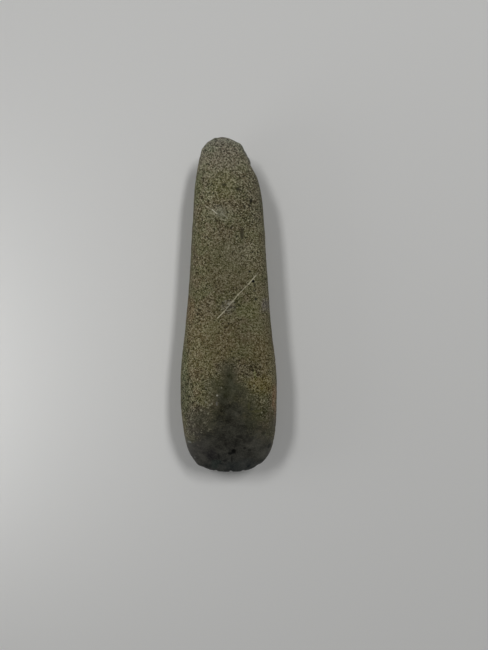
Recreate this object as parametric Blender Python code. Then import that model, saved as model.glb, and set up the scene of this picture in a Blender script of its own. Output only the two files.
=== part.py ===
"""A polished stone axe, lying loose on its underside.

One piece of hard, granular stone: an oval body pecked to shape, a rounded butt towards +Y,
and a bit ground on both faces to a curved cutting edge towards -Y. Metres, +Z up. The origin
is under the middle of the stone, on the surface that it lies on.
"""

import math

import bmesh
import bpy
import numpy as np

# Driving dimensions of the stone
LENGTH = 0.160
WIDTH = 0.046
THICKNESS = 0.032

# The ground bit: how far each cheek runs up its face, and the worn edge between them
UPPER_CHEEK_LENGTH = 0.051
UNDER_CHEEK_LENGTH = 0.047
EDGE_THICKNESS = 0.0012
CHEEK_BLEND = 0.0012

# The flat spot that the stone rests on, across its underside
REST_FLAT_WIDTH = 0.018

# Shape of the free form, in shares of its own length, width and thickness, from butt to edge.
# Each row: share of the length, half width, sideways lean of the middle line, half thickness.
STATIONS = (
    (0.00, 0.343, -0.075, 0.42),
    (0.06, 0.504, -0.048, 0.60),
    (0.14, 0.665, -0.016, 0.77),
    (0.25, 0.742, -0.006, 0.87),
    (0.42, 0.807, -0.002, 0.95),
    (0.58, 0.904, -0.007, 0.99),
    (0.70, 0.990, -0.002, 1.00),
    (0.80, 0.995, 0.001, 1.00),
    (0.90, 0.972, 0.007, 0.98),
    (1.00, 1.072, 0.007, 0.95),
)
SHARES, HALF_WIDTHS, LEANS, HALF_THICKNESSES = np.array(STATIONS).T

# The two rounded ends, as superellipses: share of the length that each takes, and its fullness
BUTT_ROUNDING_SHARE = 0.049
BUTT_FULLNESS = 2.34
BIT_ROUNDING_SHARE = 0.166
BIT_FULLNESS = 2.42

# The cross-section is a slightly squared oval, and a cheek curves down to the edge
SECTION_FULLNESS = 2.2
CHEEK_FULLNESS = 2.2

# Fineness of the mesh, and of the curves that it is spaced along
FACE_SEGMENTS = 30
RINGS = 76
CURVE_STEPS = 2000
SECTION_STEPS = 240


def clear_scene():
    """Remove whatever the file holds, so that the stone stands alone."""
    for obj in list(bpy.data.objects):
        bpy.data.objects.remove(obj, do_unlink=True)


def smooth_through(values, share):
    """A smooth curve through one column of the stations, read at shares of the length."""
    slopes = np.gradient(values, SHARES)
    start = np.clip(np.searchsorted(SHARES, share) - 1, 0, len(SHARES) - 2)
    end = start + 1
    span = SHARES[end] - SHARES[start]
    t = (share - SHARES[start]) / span
    rise = t * t * (3 - 2 * t)
    leaving = span * slopes[start] * t * (1 - t) ** 2
    arriving = span * slopes[end] * t * t * (t - 1)
    return values[start] + (values[end] - values[start]) * rise + leaving + arriving


def rounded_end(depth, fullness):
    """How a rounded end opens: 0 at its tip, 1 where depth reaches 1."""
    rest = 1 - np.clip(depth, 0, 1)
    return (1 - rest**fullness) ** (1 / fullness)


def half_width(share):
    """Half the stone's width at a share of its length."""
    body = WIDTH / 2 * smooth_through(HALF_WIDTHS, share)
    butt = rounded_end(share / BUTT_ROUNDING_SHARE, BUTT_FULLNESS)
    bit = rounded_end((1 - share) / BIT_ROUNDING_SHARE, BIT_FULLNESS)
    return body * butt * bit


def middle_line(share):
    """Sideways place of the middle of the stone."""
    return WIDTH * smooth_through(LEANS, share)


def half_thickness(share):
    """Half the thickness of the pecked body, before the cheeks are ground."""
    body = THICKNESS / 2 * smooth_through(HALF_THICKNESSES, share)
    return body * rounded_end(share / BUTT_ROUNDING_SHARE, BUTT_FULLNESS)


def place_along(share):
    """Y of a share of the length: the butt lies towards +Y."""
    return LENGTH * (0.5 - share)


def edge_curve():
    """The cutting edge, as shares of the length over the half width that it spans."""
    share = np.linspace(1 - BIT_ROUNDING_SHARE, 1, CURVE_STEPS)
    width = half_width(share)
    widest = int(np.argmax(width))
    return width[widest:][::-1], share[widest:][::-1]


def cheek_height(aside, share, cheek_length):
    """Height of a ground cheek above the middle plane, from the worn edge up its face."""
    widths, shares = edge_curve()
    up_the_face = LENGTH * (np.interp(np.abs(aside), widths, shares) - share)
    up_the_face = np.maximum(up_the_face, 0)
    rest = 1 - np.clip(up_the_face / cheek_length, 0, 1)
    ground = THICKNESS / 2 * (1 - rest**CHEEK_FULLNESS)
    worn = EDGE_THICKNESS / 2 * rounded_end(up_the_face / (EDGE_THICKNESS / 2), 2)
    return ground + worn


def blended_lower(a, b):
    """The lower of two surfaces, with a soft crease of CHEEK_BLEND where they meet."""
    near = np.clip(1 - np.abs(a - b) / CHEEK_BLEND, 0, 1)
    return np.minimum(a, b) - near**2 * CHEEK_BLEND / 4


def face_height(aside, share, cheek_length):
    """Height of one face over the middle plane, at a distance aside from the middle line."""
    out = np.clip(np.abs(aside) / half_width(share), 0, 1)
    body = half_thickness(share) * (1 - out**SECTION_FULLNESS) ** (1 / SECTION_FULLNESS)
    cheek = cheek_height(aside, share, cheek_length)
    return np.maximum(blended_lower(body, cheek), 0) * (out < 1)


def rest_depth():
    """How far below the middle plane the flat spot lies, from its width on the full section."""
    out = REST_FLAT_WIDTH / WIDTH
    return THICKNESS / 2 * (1 - out**SECTION_FULLNESS) ** (1 / SECTION_FULLNESS)


def even_shares():
    """Shares of the length for the rings, evenly spaced along the stone's outline."""
    angle = np.linspace(0, math.pi, CURVE_STEPS)
    share = (1 - np.cos(angle)) / 2
    outline = np.hypot(np.diff(LENGTH * share), np.diff(half_width(share)))
    travelled = np.concatenate(([0], np.cumsum(outline)))
    return np.interp(np.linspace(0, travelled[-1], RINGS + 1), travelled, share)


def half_section(share, cheek_length):
    """Points over one face, evenly spaced from the +X side to the -X side of the stone."""
    angle = np.linspace(0, math.pi, SECTION_STEPS)
    aside = half_width(share) * np.cos(angle)
    height = face_height(aside, share, cheek_length)
    travelled = np.concatenate(([0], np.cumsum(np.hypot(np.diff(aside), np.diff(height)))))
    even = np.linspace(0, travelled[-1], FACE_SEGMENTS + 1)
    aside = np.interp(even, travelled, aside)
    return aside, face_height(aside, share, cheek_length)


def ring(share):
    """One closed section from the +X side, under the stone and back over it, as X and Z."""
    under_x, under_z = half_section(share, UNDER_CHEEK_LENGTH)
    over_x, over_z = half_section(share, UPPER_CHEEK_LENGTH)
    under_z = np.minimum(under_z, rest_depth())
    aside = np.concatenate((under_x[:-1], over_x[::-1][:-1]))
    height = np.concatenate((-under_z[:-1], over_z[::-1][:-1]))
    return aside + middle_line(share), height + rest_depth()


def shape_stone(mesh_data):
    """Turn a sphere into the stone: each of its rings becomes one section."""
    segments = 2 * FACE_SEGMENTS
    bm = bmesh.new()
    bmesh.ops.create_uvsphere(bm, u_segments=segments, v_segments=RINGS, radius=1)
    shares = even_shares()
    rings = [ring(share) for share in shares[1:-1]]
    for vert in bm.verts:
        polar = round(math.acos(max(-1.0, min(1.0, vert.co.z))) / math.pi * RINGS)
        around = round(math.atan2(vert.co.y, vert.co.x) / math.tau * segments) % segments
        if 0 < polar < RINGS:
            x, z = (line[around] for line in rings[polar - 1])
        else:
            x, z = middle_line(shares[polar]), rest_depth()
        vert.co = (x, place_along(shares[polar]), z)
    bm.to_mesh(mesh_data)
    bm.free()


def centre_on_origin(mesh_data):
    """Bring the middle of the stone's box over the origin, in X."""
    across = [vert.co.x for vert in mesh_data.vertices]
    middle = (min(across) + max(across)) / 2
    for vert in mesh_data.vertices:
        vert.co.x -= middle


def stone_material():
    """Olive-brown granular stone, half matt from handling."""
    material = bpy.data.materials.new("stone")
    material.use_nodes = True
    shader = material.node_tree.nodes["Principled BSDF"]
    shader.inputs["Base Color"].default_value = (0.090, 0.079, 0.048, 1.0)
    shader.inputs["Roughness"].default_value = 0.6
    shader.inputs["Metallic"].default_value = 0.0
    return material


def make_stone_axe():
    """Build the stone axe as one named object in its own collection."""
    collection = bpy.data.collections.new("polished_stone_axe")
    bpy.context.scene.collection.children.link(collection)
    mesh_data = bpy.data.meshes.new("stone_axe")
    shape_stone(mesh_data)
    centre_on_origin(mesh_data)
    mesh_data.shade_smooth()
    mesh_data.materials.append(stone_material())
    collection.objects.link(bpy.data.objects.new("stone_axe", mesh_data))


clear_scene()
make_stone_axe()
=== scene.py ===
# %% [markdown]
# # A polished stone axe
#
# The real thing is one loose stone, pecked to a long tapering oval and then ground at its wide
# end to a curved cutting edge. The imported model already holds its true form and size. This
# lesson keeps that form and adds what hands, grit and time left on it: the pecked skin, the dark
# polish of the bit, chips along the edges, stains and two scratches.
#
# The first step only loads the model and notes the box that it fills, because everything made
# later has to stay inside that box.

import bpy
import numpy as np
from mathutils import Matrix, Vector, noise


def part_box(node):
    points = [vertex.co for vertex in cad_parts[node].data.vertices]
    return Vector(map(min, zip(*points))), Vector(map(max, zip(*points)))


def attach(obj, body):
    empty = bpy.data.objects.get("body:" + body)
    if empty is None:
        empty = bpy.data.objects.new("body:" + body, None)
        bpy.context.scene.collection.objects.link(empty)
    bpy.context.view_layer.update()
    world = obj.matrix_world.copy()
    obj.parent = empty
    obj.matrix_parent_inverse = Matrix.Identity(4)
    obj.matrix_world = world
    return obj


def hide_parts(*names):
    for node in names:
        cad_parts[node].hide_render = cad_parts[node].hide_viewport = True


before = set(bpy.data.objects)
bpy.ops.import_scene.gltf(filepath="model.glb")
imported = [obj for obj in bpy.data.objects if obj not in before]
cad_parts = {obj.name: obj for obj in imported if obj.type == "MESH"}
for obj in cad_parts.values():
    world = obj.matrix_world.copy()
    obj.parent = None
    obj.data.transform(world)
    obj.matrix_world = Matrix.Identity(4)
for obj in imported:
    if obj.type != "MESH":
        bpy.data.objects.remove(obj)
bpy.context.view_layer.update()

MM = 0.001
low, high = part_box("stone_axe")
edge_y = low.y
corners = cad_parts["stone_axe"].data.vertices
edge_z = min(corners, key=lambda corner: corner.co.y).co.z
print("stone in mm:", [round(side / MM, 1) for side in high - low])
print("cutting edge lies", round(edge_z / MM, 1), "mm above the floor")

# %% [markdown]
# ## The camera
#
# The stone is seen from straight above, as when someone bends over it for a close look. A
# camera could be aimed with a constraint, but one that looks straight down needs no turning at
# all, so it is only placed. The lens is a little wide and the camera close, which is what a
# hand-held picture of a small thing looks like. Its distance follows from how much the picture's
# long side takes in at the height of the stone's outline.

# %% Look straight down at the stone
scene = bpy.context.scene
PICTURE_LENGTH = 311.2 * MM
PICTURE_CENTRE = Vector((7.3 * MM, -9.6 * MM))
LENS_MM = 30
SENSOR_MM = 36

camera_data = bpy.data.cameras.new("camera")
camera_data.lens = LENS_MM
camera_data.sensor_width = SENSOR_MM
camera_data.clip_start = 10 * MM
camera = bpy.data.objects.new("camera", camera_data)
scene.collection.objects.link(camera)
camera_rise = PICTURE_LENGTH * LENS_MM / SENSOR_MM
camera.location = (PICTURE_CENTRE.x, PICTURE_CENTRE.y, edge_z + camera_rise)
scene.camera = camera
print("camera is", round(camera.location.z / MM), "mm above the floor")

# %% [markdown]
# ## A skin fine enough to carve
#
# The model's own facets are about two millimetres wide, too coarse for pecked stone. A
# Subdivision Surface would split them, but along the old lines, and it would pull the worn
# cutting edge inwards. Voxel Remesh lays an even grid of small squares over the same form
# instead, so that a pit can lie anywhere. Its squares are as small as they can be while the
# stone stays under 200,000 triangles. Its squares are just under half a millimetre wide. The
# copy is welded first, because an imported mesh may keep the corners of its faces apart.

# %% Cover the stone with an even fine skin
SKIN_CELL = 0.48 * MM
WELD_DISTANCE = 0.01 * MM


def evaluated_mesh(obj):
    """The mesh of an object with its modifiers applied."""
    graph = bpy.context.evaluated_depsgraph_get()
    return bpy.data.meshes.new_from_object(obj.evaluated_get(graph), depsgraph=graph)


def fine_skin(node, name):
    """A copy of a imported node, remeshed into small even squares."""
    rough = bpy.data.objects.new("rough_stone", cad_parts[node].data.copy())
    scene.collection.objects.link(rough)
    weld = rough.modifiers.new("weld", "WELD")
    weld.merge_threshold = WELD_DISTANCE
    remesh = rough.modifiers.new("skin", "REMESH")
    remesh.mode = "VOXEL"
    remesh.voxel_size = SKIN_CELL
    mesh = evaluated_mesh(rough)
    mesh.materials.clear()
    bpy.data.objects.remove(rough)
    skin = bpy.data.objects.new(name, mesh)
    scene.collection.objects.link(skin)
    return skin


stone = fine_skin("stone_axe", "stone")
print("skin:", len(stone.data.vertices), "points,", 2 * len(stone.data.polygons), "triangles")

# %% [markdown]
# ## Points as plain arrays
#
# From here the skin is shaped by formulas. Moving a hundred thousand points one by one through
# Blender's interface is slow, so they are read once into an array, worked on, and written back
# once at the end.

# %% Read the skin into arrays
def read_points(mesh):
    """The points of a mesh as rows of x, y, z."""
    flat = np.zeros(len(mesh.vertices) * 3)
    mesh.vertices.foreach_get("co", flat)
    return flat.reshape(-1, 3)


def read_edges(mesh):
    """The edges of a mesh as rows of two point numbers."""
    flat = np.zeros(len(mesh.edges) * 2, int)
    mesh.edges.foreach_get("vertices", flat)
    return flat.reshape(-1, 2)


def smooth_step(value):
    """Ease from 0 to 1 as value goes from 0 to 1."""
    t = np.clip(value, 0, 1)
    return t * t * (3 - 2 * t)


points = read_points(stone.data)
edges = read_edges(stone.data)
print("arrays:", points.shape, edges.shape)

# %% [markdown]
# ## Melting the facets away
#
# The remesh still follows the flat facets underneath. Moving each point a part of the way to the
# mean of its neighbours, about twenty times, melts them into one smooth form. The same smoothing
# would also eat the thin cutting edge, so points near the outline of the bit hardly move.

# %% Smooth the skin, but spare the cutting edge
SMOOTHING_ROUNDS = 22
SMOOTHING_SHARE = 0.5
SPARED_RIM = 3.0 * MM
SPARED_SHARE = 0.9
BIT_REACH, BIT_FADE = 30 * MM, 10 * MM


def neighbour_mean(values, pairs):
    """The mean of each point's neighbours."""
    count = np.bincount(pairs.ravel(), minlength=len(values))
    total = np.zeros_like(values)
    for axis in range(values.shape[1]):
        total[:, axis] += np.bincount(pairs[:, 0], values[pairs[:, 1], axis], len(values))
        total[:, axis] += np.bincount(pairs[:, 1], values[pairs[:, 0], axis], len(values))
    return total / count[:, None]


def smoothed(values, pairs, share, rounds):
    """Points moved towards their neighbours, each by its own share, for some rounds."""
    for _ in range(rounds):
        values = values + share[:, None] * (neighbour_mean(values, pairs) - values)
    return values


thin = np.abs(points[:, 2] - edge_z)
near_bit = smooth_step((edge_y + BIT_REACH - points[:, 1]) / BIT_FADE)
spared = near_bit * (1 - smooth_step(thin / SPARED_RIM))
share = SMOOTHING_SHARE * (1 - SPARED_SHARE * spared)
points = smoothed(points, edges, share, SMOOTHING_ROUNDS)
print("smoothed; length now", round(np.ptp(points[:, 1]) / MM, 2), "mm")

# %% [markdown]
# ## Where the stone is polished
#
# The maker ground both faces of the bit, and use polished them. The flat cheek of the grinding
# meets the round body in a pointed arch, so the polish starts as a narrow tongue in the middle
# of the face and widens to the full width of the bit. A formula could draw an even arch, but the
# real one leans, and it fades slowly in one place and quickly in another. A few rows of numbers
# therefore hold its two sides and how wide each of them fades, and noise makes them ragged. Each
# noise has a seed of its own, so that no two look alike. One number is kept for each point: how
# far it is ground, from 0 to 1.

# %% Mark the polished bit
ARCH = (
    # all in mm: distance from the cutting edge, then for the left and for the right side of the
    # ground arch the line where half of it is ground, and the width over which it fades
    (0, -32, 10, 33, 16),
    (8, -28, 10, 30, 16),
    (14.5, -22, 12, 24.5, 18),
    (18.7, -18.5, 24, 21.5, 24),
    (23, -15, 25, 19.3, 27),
    (27, -13.5, 26, 18.3, 27),
    (31, -11.0, 22, 17.2, 27),
    (34.7, -6.9, 10, 11.5, 24),
    (38.4, -7.3, 9, 9.8, 22),
    (42, -7.0, 11, 7.5, 12),
    (45.7, -5.3, 13, 4.9, 7),
    (49.3, -3.4, 8, 3.6, 9),
    (59, -2.0, 7, 3.4, 8),
)
UNDER_ARCH_SHIFT = 5 * MM
TIP_BORDER = 14 * MM
RAGGED = 0.24
RAGGED_SIZE = 6 * MM


def noise_at(places, size, seed):
    """Smooth noise from about -1 to 1, with lumps of the given size."""
    shift = Vector((seed, seed, seed))
    return np.array([noise.noise(Vector(place / size) + shift) for place in places])


arch_distance, *arch_sides = np.array(ARCH).T * MM
upper = points[:, 2] > edge_z
from_edge = points[:, 1] - edge_y + np.where(upper, 0, UNDER_ARCH_SHIFT)
left, left_fade, right, right_fade = (
    np.interp(from_edge, arch_distance, side) for side in arch_sides
)
past_left = (points[:, 0] - left) / left_fade
past_right = (right - points[:, 0]) / right_fade
ragged = RAGGED * noise_at(points, RAGGED_SIZE, seed=3.1)
ragged += RAGGED / 2 * noise_at(points, RAGGED_SIZE / 3, seed=8.4)
ground = np.clip(np.minimum(past_left, past_right) + 0.5 + ragged, 0, 1)
ground *= smooth_step((arch_distance[-1] - from_edge) / TIP_BORDER)
print("ground share of the skin:", round(float(ground.mean()), 3))

# %% [markdown]
# ## Pecked skin
#
# The body was shaped by thousands of light blows with a harder stone, which leave a skin of
# small shallow pits between hard grains. Long slow waves stand for the unevenness of hand work.
# Voronoi cells make the pits: each cell has its own centre and its own depth. Grinding has worn
# all of it away on the bit, so the pits fade with the polish. How steeply the skin turns down to
# the sides is noted on the way. The flanks are painted paler, partly because they are less worn
# and partly to offset the shade that their slope gets. The steepest skin along the outline gets
# a painted shade, a little darker.

# %% Peck the body
WAVE_SIZE, WAVE_HEIGHT = 26 * MM, 0.22 * MM
LUMP_SIZE, LUMP_HEIGHT = 6.5 * MM, 0.10 * MM
GRAIN_SIZE, GRAIN_HEIGHT = 1.1 * MM, 0.07 * MM
PIT_SPACING, PIT_DEPTH = 2.0 * MM, 0.16 * MM
PIT_REACH, DEPTH_SEED = 0.6, 7.3
POLISH_LEAVES = 0.08
WAVES_WORN, LUMPS_WORN = 0.5, 0.6
FLANK_STEEPNESS, FLANK_PALER = 0.25, 0.12
RIM_STEEPNESS, RIM_PAINTED_SHADE = 0.45, 0.30


def pit_at(places, spacing):
    """Depth of pecked pits from 0 to 1: round bottoms, each cell with a depth of its own."""
    depth = np.zeros(len(places))
    for i, place in enumerate(places):
        away, centres = noise.voronoi(Vector(place / spacing))
        own = noise.cell(centres[0] * DEPTH_SEED)
        depth[i] = abs(own) * max(0.0, 1 - (away[0] / PIT_REACH) ** 2)
    return depth


def outward(mesh, places):
    """Outward direction at each point, for the points in these places."""
    mesh.vertices.foreach_set("co", places.ravel())
    mesh.update()
    flat = np.zeros(len(mesh.vertices) * 3)
    mesh.vertex_normals.foreach_get("vector", flat)
    return flat.reshape(-1, 3)


directions = outward(stone.data, points)
flank = smooth_step((1 - directions[:, 2] ** 2) / FLANK_STEEPNESS)
rim = 1 - smooth_step(np.abs(directions[:, 2]) / RIM_STEEPNESS)
# Painted light and shade: flanks paler against the shade of their slope, the steepest rim
# darker.
side_shade = 1 + FLANK_PALER * flank * (1 - ground) - RIM_PAINTED_SHADE * rim
rough = 1 - (1 - POLISH_LEAVES) * ground
relief = WAVE_HEIGHT * noise_at(points, WAVE_SIZE, seed=1.7) * (1 - WAVES_WORN * ground)
relief += LUMP_HEIGHT * noise_at(points, LUMP_SIZE, seed=5.9) * (1 - LUMPS_WORN * ground)
relief += GRAIN_HEIGHT * noise_at(points, GRAIN_SIZE, seed=9.2) * rough
relief -= PIT_DEPTH * pit_at(points, PIT_SPACING) * rough
points = points + relief[:, None] * directions
print("relief from", round(relief.min() / MM, 2), "to", round(relief.max() / MM, 2), "mm")

# %% [markdown]
# ## Chips and worn corners
#
# A used edge is never a clean curve. Small bites are missing from the cutting edge and the
# butt, one corner of the bit is rubbed back, and one shoulder of the butt is slightly hollow.
# Each bite is a place on the outline, how far it reaches and how deep it goes. Points within
# reach are pushed towards the middle of the stone, so the edge stays closed and no hole opens.
# Where the outline is a little fuller than its neighbours, the depth is below zero.

# %% Bite the chips out of the outline
BITES = (
    # what it is, x, y, reach and depth, all in mm
    ("nick in the butt", -5.2, 79.6, 1.2, 0.45),
    ("step in the butt", 4.6, 77.4, 1.3, 0.35),
    ("flat beside the step", 2.2, 79.7, 2.4, 0.45),
    ("full corner after it", 6.2, 76.2, 3.4, -0.80),
    ("flat left of the nick", -8.5, 78.4, 2.6, 0.25),
    ("full left corner of the butt", -13.4, 73.8, 2.6, -0.35),
    ("full shoulder over the notch", 10.6, 68.8, 2.6, -0.50),
    ("hollow shoulder", 11.3, 66.0, 6.5, 0.40),
    ("notch in the shoulder", 10.9, 66.5, 1.3, 0.30),
    ("right corner rubbed back", 14.2, -77.2, 3.5, 0.25),
    ("step in the right corner", 13.4, -76.2, 1.6, 0.20),
    ("left nick in the edge", -6.1, -79.4, 1.2, 0.40),
    ("middle notch in the edge", 1.0, -79.8, 1.0, 0.70),
    ("right nick in the edge", 6.9, -79.3, 1.2, 0.35),
    ("full left corner", -14.8, -76.2, 3.6, -0.5),
)
BUTT_HEART_Y = 60.0
BIT_HEART_Y = -52.0


def bite(places, x, y, reach_mm, depth_mm):
    """Push the outline inwards around one place."""
    heart = np.array([0.0, min(max(y, BIT_HEART_Y), BUTT_HEART_Y)])
    inwards = heart - np.array([x, y])
    inwards /= np.linalg.norm(inwards)
    away = np.hypot(places[:, 0] / MM - x, places[:, 1] / MM - y)
    push = depth_mm * MM * (1 - smooth_step(away / reach_mm))
    moved = places.copy()
    moved[:, :2] += push[:, None] * inwards
    return moved


for _, *numbers in BITES:
    points = bite(points, *numbers)
print("bites made:", ", ".join(bite_row[0] for bite_row in BITES))

# %% [markdown]
# ## Back on the floor
#
# The carving may have sunk or lifted points by a hair. The stone rests on its underside, so
# nothing may go below the floor, and the flat that it rests on stays flat.

# %% Settle the stone and write the points back
BOX_MARGIN = 0.2 * MM


def write_points(mesh, places):
    """Write rows of x, y, z back to the mesh."""
    mesh.vertices.foreach_set("co", places.ravel())
    mesh.update()


def keep_number(mesh, name, values):
    """Keep one number for each point on the mesh, where a material can read it."""
    layer = mesh.attributes.new(name, "FLOAT", "POINT")
    layer.data.foreach_set("value", values.astype(np.float32))


points[:, 2] = np.maximum(points[:, 2], low.z)
for axis in range(3):
    least, most = low[axis] - BOX_MARGIN, high[axis] + BOX_MARGIN
    points[:, axis] = np.clip(points[:, axis], least, most)
write_points(stone.data, points)
keep_number(stone.data, "ground", ground)
keep_number(stone.data, "side_shade", side_shade)
keep_number(stone.data, "flank", flank * (1 - rim))
stone.data.shade_smooth()
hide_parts("stone_axe")
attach(stone, "root")
print("carved stone in mm:", [round(side / MM, 2) for side in np.ptp(points, axis=0)])

# %% [markdown]
# ## A short way to write materials
#
# A procedural material is a graph of many small nodes. Written out in full, every node takes
# several lines. The helper below adds a node, sets its inputs by name and returns its output,
# so that a pattern reads like a formula. Colours are easiest to judge as the picture shows them,
# so one more helper takes the strength of the light and the picture's contrast back out of them.

# %% Helpers for node materials
VIEW_GAMMA = 0.8
LIGHT_ON_STONE = 1.03


def colour(red, green, blue):
    """The colour that a lit surface needs to be shown as these values from 0 to 255."""
    shown = np.array([red, green, blue]) / 255
    light = np.where(shown <= 0.04045, shown / 12.92, ((shown + 0.055) / 1.055) ** 2.4)
    return (*(light**VIEW_GAMMA / LIGHT_ON_STONE).tolist(), 1.0)


class Graph:
    """The node graph of one material."""

    def __init__(self, name):
        self.material = bpy.data.materials.new(name)
        self.material.use_nodes = True
        self.tree = self.material.node_tree
        self.shader = self.tree.nodes["Principled BSDF"]

    def give(self, socket, value):
        """Give a socket a plain value, or join it to another node's output."""
        if isinstance(value, bpy.types.NodeSocket):
            self.tree.links.new(value, socket)
        else:
            socket.default_value = value

    def node(self, kind, inputs=(), **settings):
        """Add a node, with its settings and its inputs by name or number."""
        node = self.tree.nodes.new("ShaderNode" + kind)
        for key, value in settings.items():
            setattr(node, key, value)
        for key, value in dict(inputs).items():
            self.give(node.inputs[key], value)
        return node

    def calc(self, operation, a, b=0.0, c=0.0, clamp=False):
        """One step of arithmetic on numbers."""
        inputs = {0: a, 1: b, 2: c}
        return self.node("Math", inputs, operation=operation, use_clamp=clamp).outputs[0]

    def ease(self, value, start, end):
        """0 at start, 1 at end, with a soft ramp between."""
        inputs = {"Value": value, "From Min": start, "From Max": end}
        node = self.node("MapRange", inputs, interpolation_type="SMOOTHSTEP")
        return node.outputs["Result"]

    def mix(self, share, a, b):
        """Mix two colours."""
        node = self.node("Mix", data_type="RGBA")
        self.give(node.inputs["Factor"], share)
        self.give(node.inputs[6], a)
        self.give(node.inputs[7], b)
        return node.outputs[2]

    def lumps(self, place, size, detail=2.0, roughness=0.5):
        """Noise with lumps of a size in millimetres, from 0 to 1."""
        inputs = {"Vector": place, "Scale": 1 / size, "Detail": detail, "Roughness": roughness}
        return self.node("TexNoise", inputs).outputs["Fac"]

    def ramp(self, value, stops):
        """A colour ramp through stops of (place, colour)."""
        node = self.node("ValToRGB", {"Fac": value})
        ramp = node.color_ramp
        while len(ramp.elements) < len(stops):
            ramp.elements.new(0.5)
        for element, (place, shade) in zip(ramp.elements, stops):
            element.position = place
            element.color = shade
        return node.outputs["Color"]


skin = Graph("stone")
place = skin.node(
    "VectorMath",
    {0: skin.node("TexCoord").outputs["Object"], "Scale": 1 / MM},
    operation="SCALE",
).outputs["Vector"]
print("material started:", skin.material.name)

# %% [markdown]
# ## Grain
#
# The stone is a tight mass of mineral grains under a millimetre across: pale ones, olive ones
# and dark gaps between them. They differ in how light they are much more than in hue, so the
# grain is made as one number. Voronoi cells give each grain a shade of its own, and fine noise
# breaks up their borders. Both are read at the point's place in space, so the grain runs
# through the stone and no side has a seam.

# %% Make the grain
GRAIN_WIDTH, GRAIN_SWING = 0.62, 0.42
BREAKUP_WIDTH, BREAKUP_SWING = 0.50, 1.3
CLUSTER_WIDTH, CLUSTER_SWING = 5.0, 0.08
MOTTLE_WIDTH = 4.5


def around_zero(graph, number, swing):
    """A number from 0 to 1, brought to run from minus half the swing to plus half."""
    return graph.calc("MULTIPLY_ADD", number, swing, -swing / 2)


def grain_tone(graph, at):
    """How light the grain is at a place, around 0."""
    cells = graph.node("TexVoronoi", {"Vector": at, "Scale": 1 / GRAIN_WIDTH}, feature="F1")
    own = graph.node("SeparateColor", {"Color": cells.outputs["Color"]}).outputs["Red"]
    breakup = graph.lumps(at, BREAKUP_WIDTH, detail=1.0)
    clusters = graph.lumps(at, CLUSTER_WIDTH)
    tone = around_zero(graph, own, GRAIN_SWING)
    tone = graph.calc("ADD", tone, around_zero(graph, breakup, BREAKUP_SWING))
    return graph.calc("ADD", tone, around_zero(graph, clusters, CLUSTER_SWING))


tone = grain_tone(skin, place)
mottle = skin.lumps(place, MOTTLE_WIDTH, detail=4.0, roughness=0.65)
mottle = skin.calc("SUBTRACT", mottle, 0.5)
print("grain of", GRAIN_WIDTH, "mm made")

# %% [markdown]
# ## The hue of the weathered body
#
# The butt is the greyest part, the middle is olive and the lower body warmer. One colour ramp
# along the stone's length carries that slow change. Where rust, green weathering or handling
# left a patch, an ellipsoid of colour is laid over it: its distance from its own centre, bent by
# noise, says how much of the patch shows. Two of the patches are painted light instead: the
# paler right flank, and the dark blue-grey edge of the butt, a painted reflection and shade. A
# painted picture would fit only one view, while these patches sit in space and are right from
# every side.

# %% Colour the body along its length
LENGTH_MM = (high.y - low.y) / MM
parts = skin.node("SeparateXYZ", {"Vector": place}).outputs
along = skin.calc("MULTIPLY_ADD", parts["Y"], 1 / LENGTH_MM, 0.5)
body = skin.ramp(
    along,
    (
        (0.00, colour(88, 82, 57)),
        (0.25, colour(88, 81, 54)),
        (0.42, colour(88, 82, 57)),
        (0.58, colour(89, 84, 59)),
        (0.80, colour(94, 89, 65)),
        (0.90, colour(103, 100, 80)),
        (0.98, colour(106, 106, 96)),
    ),
)
print("body coloured over", round(LENGTH_MM, 1), "mm")

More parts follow.
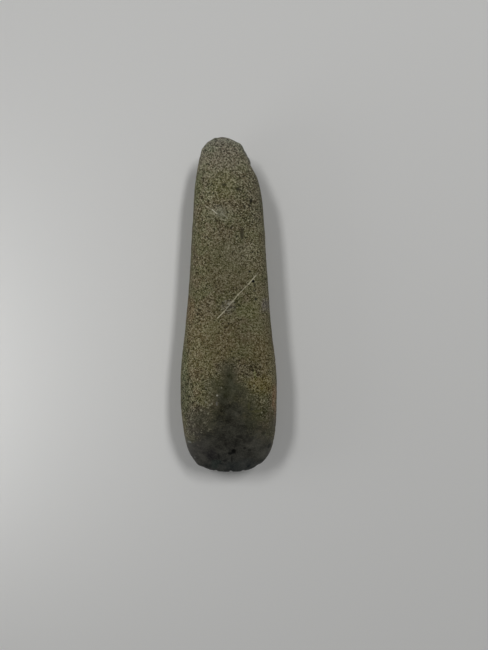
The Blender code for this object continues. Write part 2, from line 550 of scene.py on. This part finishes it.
# %% Lay patches of stain and weathering over it
PATCHES = (
    # what it is, centre in mm, half size in mm, colour, strength
    ("pinkish grey butt", (-0.7, 66.9, 24), (8, 6, 10), (108, 100, 84), 0.5),
    # Painted reflection and shade: a dark blue-grey along the steep right edge of the butt.
    ("blue-grey rim of the butt", (9.5, 73, 15), (3.0, 6, 7), (78, 83, 81), 0.6),
    ("yellowish olive", (-2.4, 54.0, 28), (5.8, 7.4, 7), (101, 97, 59), 0.45),
    ("green left of the butt", (-14.5, 54.4, 20), (2.6, 7, 8), (90, 95, 60), 0.5),
    ("grey right shoulder", (12.3, 50.0, 22), (4.0, 15, 10), (86, 82, 63), 0.5),
    ("warm lower left", (-8.0, -18.5, 26), (12.5, 13.5, 14), (104, 94, 62), 0.35),
    # Painted light: the right flank is made paler to make up for the weaker light that reaches
    # it.
    ("pale right flank", (14, 2, 20), (7, 36, 12), (106, 101, 76), 0.45),
    ("warm right flank", (14.6, -27.1, 22), (8, 14, 12), (97, 86, 57), 0.5),
    ("rust on the left side", (-17.3, -3.0, 20), (3.2, 7.5, 8), (104, 87, 61), 0.6),
    ("pale right side", (20.0, -32, 18), (3.0, 10, 8), (112, 107, 80), 0.5),
    ("rust on the right side", (21.2, -46.1, 17), (1.5, 10, 7), (136, 108, 82), 0.65),
    ("green left side", (-19.6, -36, 16), (2.8, 23, 10), (80, 86, 56), 0.5),
    ("green right flank", (9.3, -3.0, 29), (5.0, 3.4, 7), (91, 91, 55), 0.5),
    ("violet right side", (16.4, -0.8, 20), (2.8, 4.0, 7), (104, 98, 95), 0.6),
    ("green beside the tongue", (14.0, -45, 24), (5, 8, 9), (74, 76, 46), 0.4),
    ("dim right of the tongue", (11.0, -30.0, 29), (4.5, 4.5, 8), (62, 58, 36), 0.45),
    ("pale veil round the bruise", (-4, 41.5, 28), (6.5, 3.5, 6), (106, 104, 83), 0.35),
    ("violet grey round the scratch", (0.0, -1.4, 30), (2.8, 3.4, 7), (90, 85, 74), 0.4),
    ("darker left flank", (-18.5, -43, 20), (4.5, 12, 9), (70, 71, 50), 0.5),
    ("violet brown left of the bit", (-13.5, -54, 24), (6, 9, 9), (71, 66, 59), 0.5),
    ("dark tip of the tongue", (-0.6, -28.6, 31), (5.4, 4.2, 6), (63, 56, 39), 0.45),
    ("ochre right of the tongue", (14.5, -37, 24), (6.5, 4.5, 9), (108, 97, 56), 0.5),
    ("green streak", (12.0, -32.5, 29), (0.7, 3.0, 3), (78, 80, 30), 0.6),
    ("brown heart of the body", (-2, 17, 29), (9, 14, 8), (87, 82, 56), 0.5),
    ("pale olive by the butt", (-4.6, 59.6, 26.7), (2.8, 3.0, 5), (118, 113, 92), 0.4),
    ("paler band under the bruise", (5.5, 23.5, 29.5), (8.5, 6.0, 6), (112, 108, 87), 0.35),
)
PATCH_RAGGED, PATCH_RAGGED_SIZE = 5.0, 4.0
PATCH_RIM, PATCH_HEART = 1.35, 0.65
DRIFT_SIZE, DRIFT_SHARE = 7.0, 0.30
DRIFT_LIMITS = (0.38, 0.62)


def bent(graph, at, size, reach):
    """The same place, shifted about by noise, so that borders turn ragged."""
    drift = graph.node("TexNoise", {"Vector": at, "Scale": 1 / size, "Detail": 3.0})
    steps = {0: drift.outputs["Color"], 1: (0.5, 0.5, 0.5)}
    centred = graph.node("VectorMath", steps, operation="SUBTRACT").outputs["Vector"]
    scaled = graph.node("VectorMath", {0: centred, "Scale": reach}, operation="SCALE")
    inputs = {0: at, 1: scaled.outputs["Vector"]}
    return graph.node("VectorMath", inputs, operation="ADD").outputs["Vector"]


def patch_mark(graph, at, centre, size):
    """1 in the heart of an ellipsoid, 0 outside it."""
    away = graph.node("VectorMath", {0: at, 1: centre}, operation="SUBTRACT").outputs["Vector"]
    shares = graph.node("VectorMath", {0: away, 1: size}, operation="DIVIDE").outputs["Vector"]
    gone = graph.node("VectorMath", {0: shares}, operation="LENGTH").outputs["Value"]
    return graph.ease(gone, PATCH_RIM, PATCH_HEART)


def lay_patches(graph, at, base, patches):
    """Lay each patch of colour over the base."""
    for _, centre, size, shade, strength in patches:
        share = graph.calc("MULTIPLY", patch_mark(graph, at, centre, size), strength)
        base = graph.mix(share, base, colour(*shade))
    return base


ragged_place = bent(skin, place, PATCH_RAGGED_SIZE, PATCH_RAGGED)
drift = skin.lumps(place, DRIFT_SIZE, detail=3.0, roughness=0.6)
green_brown = skin.ease(drift, *DRIFT_LIMITS)
hue_drift = skin.mix(green_brown, colour(86, 90, 54), colour(97, 83, 62))
body = skin.mix(DRIFT_SHARE, body, hue_drift)
body = lay_patches(skin, ragged_place, body, PATCHES)
print("patches laid:", len(PATCHES))

# %% [markdown]
# ## Polish
#
# The polished bit is much darker, because a smooth surface scatters less light than a pecked
# one. Grinding takes the high grains first and reaches the low ones late, so at its border pale
# grains are left among dark ones. That is why the grain's own number is taken from the ground
# one before its border is drawn. The bit turns from green-black at the tip of the arch to
# blue-black at the edge, where the blue is a painted reflection of the sky on the sloping bit,
# and it stays a little greyer towards both sides.

# %% Darken the bit
GRAIN_HOLDS_OUT = 0.4
GROUND_STRETCH, GROUND_SHIFT = 1.2, -0.1
BIT_PATCHES = (
    # what it is, centre in mm, half size in mm, colour, strength
    ("green-black tongue", (-0.8, -36, 31), (6.5, 7.5, 6), (54, 54, 37), 0.85),
    ("grey left of the bit", (-15.4, -64.5, 18), (6, 13, 10), (68, 66, 61), 0.8),
    ("grey right of the bit", (15.0, -66.5, 18), (6.5, 9, 10), (71, 70, 62), 0.7),
    ("paler right of the large pit", (10, -69.5, 21), (3.6, 3, 5), (64, 63, 56), 0.75),
    ("olive right of the arch", (10.3, -50, 28), (3.6, 7, 7), (66, 66, 49), 0.5),
    ("greyer heart of the arch", (-2.8, -44.5, 31), (3.4, 3.6, 6), (62, 61, 48), 0.6),
    # Painted reflection: the blue-grey tint along the cutting edge.
    ("blue-black right of the edge", (7, -75.8, 16), (9, 3.4, 7), (50, 54, 52), 0.6),
    ("green-black by the edge", (-6.2, -74.7, 16), (2.6, 2.6, 7), (40, 49, 45), 0.7),
    ("dark patch", (-7.5, -69.4, 20), (2.9, 2.8, 5), (41, 39, 38), 0.75),
)
side_shade = skin.node("Attribute", attribute_name="side_shade").outputs["Fac"]
ground_mark = skin.node("Attribute", attribute_name="ground").outputs["Fac"]
ground_mark = skin.calc("MULTIPLY_ADD", ground_mark, GROUND_STRETCH, GROUND_SHIFT)
ground_mark = skin.calc("MULTIPLY_ADD", tone, -GRAIN_HOLDS_OUT, ground_mark, clamp=True)
# The bluer stop at the cutting edge is a painted reflection of the sky.
polished = skin.ramp(
    along, ((0.00, colour(51, 52, 49)), (0.08, colour(54, 53, 47)), (0.20, colour(51, 50, 40)))
)
polished = lay_patches(skin, ragged_place, polished, BIT_PATCHES)
hue = skin.mix(ground_mark, body, polished)
# The painted flank light and rim shade in side_shade are laid over the hue here.
hue = skin.node("VectorMath", {0: hue, "Scale": side_shade}, operation="SCALE").outputs["Vector"]
print("bit darkened, patches laid:", len(BIT_PATCHES))

# %% [markdown]
# ## Grain over the colour
#
# The grain is now added as light or dark, strongly on the pecked body, most of all at the butt,
# and faintly on the polished bit, where soft mottles take its place. The upper face is calmer
# than the shoulders beside it, and calmest in two places, as if a hand had rubbed it there.
# Multiplying would make the pale grains as colourful as the dark ones. On the real stone they
# are greyer, which adding gives by itself.

# %% Add the grain to the colour
BODY_SWING = (0.45, 0.43, 0.36)
BUTT_SWING = (0.60, 0.58, 0.49)
BIT_SWING = (0.052, 0.050, 0.043)
BUTT_LIMITS, GROUND_LIMITS = (0.55, 0.80), (0.0, 0.8)
LIVELY_SIZE, LIVELY_RANGE, LIVELY_LEAST = 9.0, 0.7, 0.65
DARKEST_SHARE = 0.2
FACE_LIVELINESS, FLANK_LIVELIER = 0.90, 0.25
CALM_PLACES = (
    # centre in mm, half size in mm, how much calmer
    ((-2, 17, 29), (9, 14, 8), 0.12),
    ((10, -13, 26), (11, 14, 10), 0.20),
)
MOTTLE_SWING = (0.190, 0.186, 0.155)


def add_swing(graph, base, number, swing):
    """Add a number to a colour, times a swing for each of red, green and blue."""
    steps = {0: swing, 1: number, 2: base}
    return graph.node("VectorMath", steps, operation="MULTIPLY_ADD").outputs["Vector"]


at_butt = skin.ease(along, *BUTT_LIMITS)
swing = skin.mix(at_butt, (*BODY_SWING, 1.0), (*BUTT_SWING, 1.0))
lively = skin.lumps(place, LIVELY_SIZE)
lively = skin.calc("MULTIPLY_ADD", lively, LIVELY_RANGE, LIVELY_LEAST)
for centre, size, calm in CALM_PLACES:
    handled = patch_mark(skin, ragged_place, centre, size)
    lively = skin.calc("MULTIPLY", lively, skin.calc("MULTIPLY_ADD", handled, -calm, 1.0))
turned = skin.node("Attribute", attribute_name="flank").outputs["Fac"]
turned = skin.calc("MULTIPLY_ADD", turned, FLANK_LIVELIER, FACE_LIVELINESS)
lively = skin.calc("MULTIPLY", lively, turned)
swing = skin.node("VectorMath", {0: swing, "Scale": lively}, operation="SCALE").outputs["Vector"]
at_bit = skin.ease(ground_mark, *GROUND_LIMITS)
swing = skin.mix(at_bit, swing, (*BIT_SWING, 1.0))
shade = add_swing(skin, hue, tone, swing)
shade = add_swing(skin, shade, skin.calc("MULTIPLY", mottle, ground_mark), MOTTLE_SWING)
darkest = {0: hue, "Scale": DARKEST_SHARE}
darkest = skin.node("VectorMath", darkest, operation="SCALE").outputs["Vector"]
shade = skin.node("VectorMath", {0: shade, 1: darkest}, operation="MAXIMUM").outputs["Vector"]
print("grain added")

# %% [markdown]
# ## Grains that the grinding missed
#
# On the left of the bit single pale grains still stand in the dark polish. The ragged border
# alone doesn't give them, because there every grain plays a part. A second and wider set of
# Voronoi cells picks out a few grains, and they show only where the skin is partly ground. Each
# pair of limits below is where a number starts to count and where it counts in full.

# %% Leave pale grains on the left of the bit
PALE_GRAIN_SPACING = 1.0
PALE_GRAIN = colour(140, 137, 116)
PALE_GRAIN_STRENGTH = 0.85
CHOSEN = (0.86, 0.92)
ROUND_GRAIN = (0.50, 0.25)
LEFT_OF = (-5.0, -10.0)
GROUND_ENOUGH, NOT_TOO_GROUND = (0.15, 0.4), (1.0, 0.7)
pale_cells = skin.node("TexVoronoi", {"Vector": place, "Scale": 1 / PALE_GRAIN_SPACING}).outputs
pale_own = skin.node("SeparateColor", {"Color": pale_cells["Color"]}).outputs["Green"]
pale_share = skin.calc("MULTIPLY", skin.ease(pale_own, *CHOSEN), PALE_GRAIN_STRENGTH)
for number, limits in (
    (pale_cells["Distance"], ROUND_GRAIN),
    (parts["X"], LEFT_OF),
    (ground_mark, GROUND_ENOUGH),
    (ground_mark, NOT_TOO_GROUND),
):
    pale_share = skin.calc("MULTIPLY", pale_share, skin.ease(number, *limits))
shade = skin.mix(pale_share, shade, PALE_GRAIN)
print("pale grains left standing")

# %% [markdown]
# ## Scratches, pits and specks
#
# A long fine scratch crosses the upper face, bruised and wider in its lower half, and a short
# pale bruise lies nearer to the butt. Each scratch is a chain of straight lines. A point's
# distance from a line, measured as seen from above, says whether it lies in the scratch. The
# underside has none, so everything here is kept to the upper face.

# %% Draw the scratches
SCRATCHES = (
    # what it is, start, end, half width in mm, colour, strength
    ("lower end of the long scratch", (-4.5, -6.5), (-1.6, -3.5), 0.40, (178, 173, 148), 0.90),
    ("thin line in it", (-1.7, -3.6), (1.9, 0.7), 0.32, (166, 162, 140), 0.70),
    ("thin part", (1.9, 0.7), (4.8, 4.3), 0.34, (172, 168, 142), 0.80),
    ("straight part", (4.8, 4.2), (9.5, 9.1), 0.34, (174, 168, 144), 0.80),
    ("upper end", (9.4, 9.0), (12.7, 13.0), 0.38, (190, 184, 160), 0.95),
    ("faint tip", (12.6, 12.9), (13.6, 14.2), 0.35, (136, 132, 112), 0.60),
    ("left line of the bruise", (-10.3, 45.0), (-8.9, 43.9), 0.36, (172, 166, 144), 0.80),
    ("faint join of the bruise", (-8.9, 43.9), (-7.2, 43.0), 0.36, (140, 134, 116), 0.60),
    ("pale line of the bruise", (-7.3, 43.1), (-4.9, 40.9), 0.34, (190, 188, 170), 0.90),
    ("right line of the bruise", (-2.8, 41.1), (-0.2, 38.7), 0.45, (144, 142, 124), 0.70),
    ("faint curve under it", (-3.8, 38.7), (-0.3, 37.5), 0.40, (130, 126, 104), 0.60),
    ("faint line on the left", (-5.5, 11.4), (-3.2, 12.6), 0.38, (136, 132, 108), 0.60),
)
LINE_CORE = 0.2
BROKEN_SIZE, BROKEN = 1.6, (0.10, 0.45)
BEND_SIZE, BEND_REACH = 3.0, 0.35
UPPER_FACE = (edge_z / MM + 1, edge_z / MM + 4)
on_top = skin.ease(parts["Z"], *UPPER_FACE)


def line_mark(graph, at, start, end, half_width):
    """1 along a straight line seen from above, 0 beside it."""
    first, last = Vector((*start, 0)), Vector((*end, 0))
    run = last - first
    flat = graph.node("VectorMath", {0: at, 1: (1, 1, 0)}, operation="MULTIPLY").outputs[0]
    away = graph.node("VectorMath", {0: flat, 1: first}, operation="SUBTRACT").outputs[0]
    ahead = graph.node("VectorMath", {0: away, 1: run}, operation="DOT_PRODUCT").outputs["Value"]
    share = graph.calc("MULTIPLY", ahead, 1 / run.length_squared, clamp=True)
    foot = graph.node("VectorMath", {0: run, "Scale": share}, operation="SCALE").outputs[0]
    gap = graph.node("VectorMath", {0: away, 1: foot}, operation="DISTANCE").outputs["Value"]
    return graph.ease(gap, half_width, half_width * LINE_CORE)


def draw_scratches(graph, at, base, scratches):
    """Draw each scratch over the base, on the upper face only."""
    broken = graph.ease(graph.lumps(at, BROKEN_SIZE), *BROKEN)
    for _, start, end, half_width, shade, strength in scratches:
        line = line_mark(graph, at, start, end, half_width)
        share = graph.calc("MULTIPLY", line, graph.calc("MULTIPLY", broken, strength))
        base = graph.mix(graph.calc("MULTIPLY", share, on_top), base, colour(*shade))
    return base


slight_bend = bent(skin, place, BEND_SIZE, BEND_REACH)
bruise = ("grey heart of the bruise", (-3.3, 41.6, 29), (2.1, 2.2, 6), (110, 110, 92), 0.50)
shade = lay_patches(skin, slight_bend, shade, (bruise,))
shade = draw_scratches(skin, slight_bend, shade, SCRATCHES)
print("scratches drawn:", len(SCRATCHES))

# %% Set the pits and specks
# The pits in this table are colour only, with no dent under them: their dark is painted shade of
# a hollow.
SPECKS = (
    # what it is, centre in mm, half size in mm, colour, strength
    ("pit by the long scratch", (11.6, 10.3, 27.6), (0.60, 0.62, 2), (0, 0, 0), 1.0),
    ("pit above it", (9.8, 14.7, 28.3), (0.50, 0.50, 2), (24, 22, 14), 0.9),
    ("dark grain beside it", (12.1, 8.6, 27), (0.5, 0.7, 2), (44, 42, 28), 0.7),
    ("dark grain below it", (12.0, 6.0, 27), (0.6, 0.5, 2), (44, 42, 28), 0.7),
    ("bright fleck on the scratch", (4.6, 4.0, 30), (0.5, 0.4, 2), (168, 163, 138), 0.8),
    ("first crushed fleck", (2.3, 1.0, 30), (0.5, 0.5, 2), (158, 154, 134), 0.8),
    ("second crushed fleck", (1.5, 0.5, 30), (0.4, 0.5, 2), (146, 142, 124), 0.8),
    ("third crushed fleck", (0.4, -0.1, 31), (0.7, 0.5, 2), (140, 137, 125), 0.8),
    ("fourth crushed fleck", (-0.4, -1.7, 31), (0.5, 0.4, 2), (136, 132, 120), 0.8),
    ("fifth crushed fleck", (-1.0, 1.0, 31), (0.4, 0.7, 2), (118, 114, 103), 0.7),
    ("sixth crushed fleck", (-2.8, -2.6, 31), (0.45, 0.4, 2), (142, 137, 114), 0.8),
    ("seventh crushed fleck", (0.3, -3.1, 31), (0.9, 0.35, 2), (122, 119, 100), 0.7),
    ("first crushed gap", (1.2, -1.6, 31), (0.8, 0.5, 2), (40, 37, 28), 0.8),
    ("second crushed gap", (3.1, -1.8, 30), (0.5, 0.8, 2), (46, 43, 32), 0.7),
    ("third crushed gap", (-2.1, -0.9, 31), (0.4, 0.7, 2), (50, 46, 35), 0.7),
    ("fourth crushed gap", (0.3, 1.3, 31), (0.7, 0.4, 2), (52, 48, 38), 0.7),
    ("fifth crushed gap", (3.4, 0.5, 30), (0.6, 0.4, 2), (46, 43, 30), 0.7),
    ("dark streak", (6.4, 31.7, 28.7), (0.85, 2.7, 2), (48, 45, 28), 0.85),
    ("pit right of the crushed part", (12.7, 2.2, 27.3), (0.6, 0.6, 2), (28, 28, 18), 0.8),
    ("pit of the olive patch", (-1.8, 54.2, 27.8), (1.2, 0.5, 2), (40, 38, 22), 0.8),
    ("pit of the right shoulder", (4.8, 52.2, 27.5), (0.9, 0.6, 2), (32, 29, 17), 0.85),
    ("lower pit of the shoulder", (10.5, 47.5, 25.7), (0.7, 0.9, 2), (28, 26, 16), 0.9),
    ("pit beside it", (10.0, 44.9, 26.2), (0.5, 0.5, 2), (30, 28, 18), 0.85),
    ("dark arc above the bruise", (-4.6, 44.6, 28.3), (2.1, 0.45, 2), (46, 43, 31), 0.6),
    ("pit under the butt", (7.6, 44.4, 27.4), (0.6, 0.6, 2), (34, 32, 20), 0.8),
    ("large pit in the bit", (2.4, -68.2, 22), (1.05, 1.25, 3), (2, 2, 1), 0.95),
    ("left arm of the large pit", (0.9, -69.4, 22), (1.1, 0.65, 3), (8, 8, 6), 0.85),
    ("vein from the large pit", (1.6, -72.8, 20.2), (0.40, 2.2, 2), (22, 22, 20), 0.75),
    ("slanting vein", (-1.6, -73.3, 19.9), (0.9, 0.6, 2), (24, 24, 22), 0.8),
    ("dark right corner", (19.3, -66.5, 18.8), (1.3, 1.5, 1.3), (22, 21, 17), 0.8),
    ("dark spot", (5.0, -60.7, 26.0), (1.3, 0.7, 2), (26, 25, 20), 0.7),
    ("second dark spot", (8.8, -60.5, 25.7), (0.6, 0.9, 2), (28, 27, 22), 0.45),
    ("third dark spot", (10.2, -62.7, 24.7), (1.0, 0.7, 2), (30, 29, 24), 0.45),
    ("fourth dark spot", (7.6, -66.7, 23.1), (0.65, 0.65, 2), (22, 22, 17), 0.8),
    ("fifth dark spot", (9.9, -67.8, 22.3), (0.9, 0.4, 2), (24, 23, 18), 0.8),
    ("green-brown spot", (16.2, -59.5, 24.6), (1.0, 0.8, 2), (36, 35, 21), 0.55),
    ("dark rim of the patch", (-4.5, -71.1, 21.0), (0.5, 1.6, 2), (22, 22, 20), 0.8),
    ("pale speck on the tongue", (-4.8, -41.3, 30.6), (0.45, 0.45, 2), (150, 148, 134), 0.9),
    ("second speck on the tongue", (-2.8, -37.8, 30.8), (0.40, 0.45, 2), (112, 110, 94), 0.8),
    ("third speck on the tongue", (-5.0, -45.1, 30.2), (0.40, 1.0, 2), (98, 96, 90), 0.8),
    ("pale fleck on the left", (-18.3, -64.4, 20.3), (1.1, 0.5, 2), (118, 120, 113), 0.9),
    ("lower fleck on the left", (-16.1, -72.4, 17.2), (0.4, 0.6, 2), (96, 96, 94), 0.8),
    ("brown fleck on the left", (-14.2, -65.6, 22.1), (0.5, 0.4, 2), (90, 84, 76), 0.8),
    ("pale olive streak", (13.0, -48.8, 28.4), (3.2, 0.55, 3), (82, 80, 49), 0.55),
    ("second olive streak", (15.5, -53.0, 26.9), (2.2, 0.5, 3), (74, 72, 47), 0.5),
    ("third olive streak", (9.5, -46.2, 29.7), (0.6, 1.8, 3), (78, 77, 48), 0.5),
    ("fleck by the green-brown spot", (17.5, -60.3, 23.6), (0.5, 0.5, 2), (92, 92, 70), 0.8),
)
shade = lay_patches(skin, slight_bend, shade, SPECKS)
print("specks set:", len(SPECKS))

# %% Set the brightest single grains
BRIGHT_GRAINS = (
    # centres in mm: first those left of the arch, then those right of it
    (-9.9, -44.5, 29.7),
    (-8.2, -45.8, 29.9),
    (-7.2, -45.1, 30.0),
    (-13.6, -44.9, 28.5),
    (-16.1, -56.0, 25.8),
    (-17.9, -55.6, 24.9),
    (-19.8, -57.6, 22.3),
    (-18.8, -59.0, 22.7),
    (-8.9, -49.8, 29.1),
    (-17.1, -52.9, 26.0),
    (-16.0, -60.1, 24.2),
    (11.8, -37.0, 29.2),
    (15.4, -49.6, 27.5),
)
BRIGHT_GRAIN = ((0.4, 0.45, 1.2), (128, 126, 106), 0.85)
bright_grains = [("grain", centre, *BRIGHT_GRAIN) for centre in BRIGHT_GRAINS]
shade = lay_patches(skin, slight_bend, shade, bright_grains)
print("bright grains set:", len(BRIGHT_GRAINS))

# %% [markdown]
# ## Gloss and fine relief
#
# The pecked body is matt and the bit half glossy, so the roughness falls with the polish. The
# skin already has its pits as real shape. What is finer than a half millimetre is left to a Bump
# node, which tilts the light without moving any point, and which fades on the polished bit.

# %% Join everything at the shader
BODY_ROUGHNESS = 0.68
BIT_ROUGHNESS = 0.40
SHINE = 0.3
BUMP_STRENGTH, BUMP_HEIGHT = 0.5, 0.15 * MM
BUMP_WORN = 0.85
gloss = skin.node(
    "MapRange", {"Value": ground_mark, "To Min": BODY_ROUGHNESS, "To Max": BIT_ROUGHNESS}
).outputs["Result"]
pecked = skin.calc("MULTIPLY_ADD", ground_mark, -BUMP_WORN, 1.0)
height = skin.calc("MULTIPLY", tone, pecked)
bump = {"Height": height, "Strength": BUMP_STRENGTH, "Distance": BUMP_HEIGHT}
bump = skin.node("Bump", bump)
skin.give(skin.shader.inputs["Base Color"], shade)
skin.give(skin.shader.inputs["Roughness"], gloss)
skin.give(skin.shader.inputs["Normal"], bump.outputs["Normal"])
skin.shader.inputs["Specular IOR Level"].default_value = SHINE
stone.data.materials.append(skin.material)
print("stone material in place")

# %% [markdown]
# ## The floor and the light
#
# A plain pale sheet makes the floor. Two long soft panels, one on each side and a little
# towards the butt, throw the two soft shadows beside the stone, and a faint even sky fills them.
# A weak low light on the left lifts the left flank and pales the floor beside it.

# %% Lay the floor
FLOOR_SIDE = 2.4
FLOOR_COLOUR = (0.70, 0.70, 0.69, 1.0)
FLOOR_ROUGHNESS = 0.7
floor_mesh = bpy.data.meshes.new("floor")
half = FLOOR_SIDE / 2
floor_mesh.from_pydata(
    [(-half, -half, 0), (half, -half, 0), (half, half, 0), (-half, half, 0)], [], [(0, 1, 2, 3)]
)
floor = bpy.data.objects.new("floor", floor_mesh)
scene.collection.objects.link(floor)
paper = Graph("pale_floor")
paper.shader.inputs["Base Color"].default_value = FLOOR_COLOUR
paper.shader.inputs["Roughness"].default_value = FLOOR_ROUGHNESS
floor_mesh.materials.append(paper.material)
print("floor laid")

# %% Hang the lights
SKY_COLOUR, SKY_STRENGTH = (1.0, 1.0, 1.0, 1.0), 0.155
LAMPS = (
    # name, place in metres, power in watts, width and length in metres
    ("left_panel", (-0.90, 0.74, 1.65), 12.4, 0.28, 0.80),
    ("right_panel", (0.78, 0.74, 1.7), 15.0, 0.26, 0.80),
    ("low_left_panel", (-0.20, -0.04, 0.09), 0.075, 0.10, 0.14),
)


def soft_panel(name, place_of_lamp, power, width, length):
    """A soft light that faces the stone, with its length along the stone's."""
    panel = bpy.data.lights.new(name, "AREA")
    panel.shape = "RECTANGLE"
    panel.size = width
    panel.size_y = length
    panel.energy = power
    lamp = bpy.data.objects.new(name, panel)
    scene.collection.objects.link(lamp)
    back = Vector(place_of_lamp).normalized()
    across = Vector((0, 1, 0)).cross(back).normalized()
    turn = Matrix((across, back.cross(across), back)).transposed()
    lamp.matrix_world = Matrix.Translation(place_of_lamp) @ turn.to_4x4()
    lamp.visible_camera = False


for lamp_row in LAMPS:
    soft_panel(*lamp_row)
world = bpy.data.worlds.new("studio")
world.use_nodes = True
sky = world.node_tree.nodes["Background"].inputs
sky["Color"].default_value = SKY_COLOUR
sky["Strength"].default_value = SKY_STRENGTH
scene.world = world
scene.view_settings.view_transform = "Standard"
scene.view_settings.gamma = VIEW_GAMMA
scene.view_settings.exposure = 0.0
print("lights hung:", len(LAMPS))
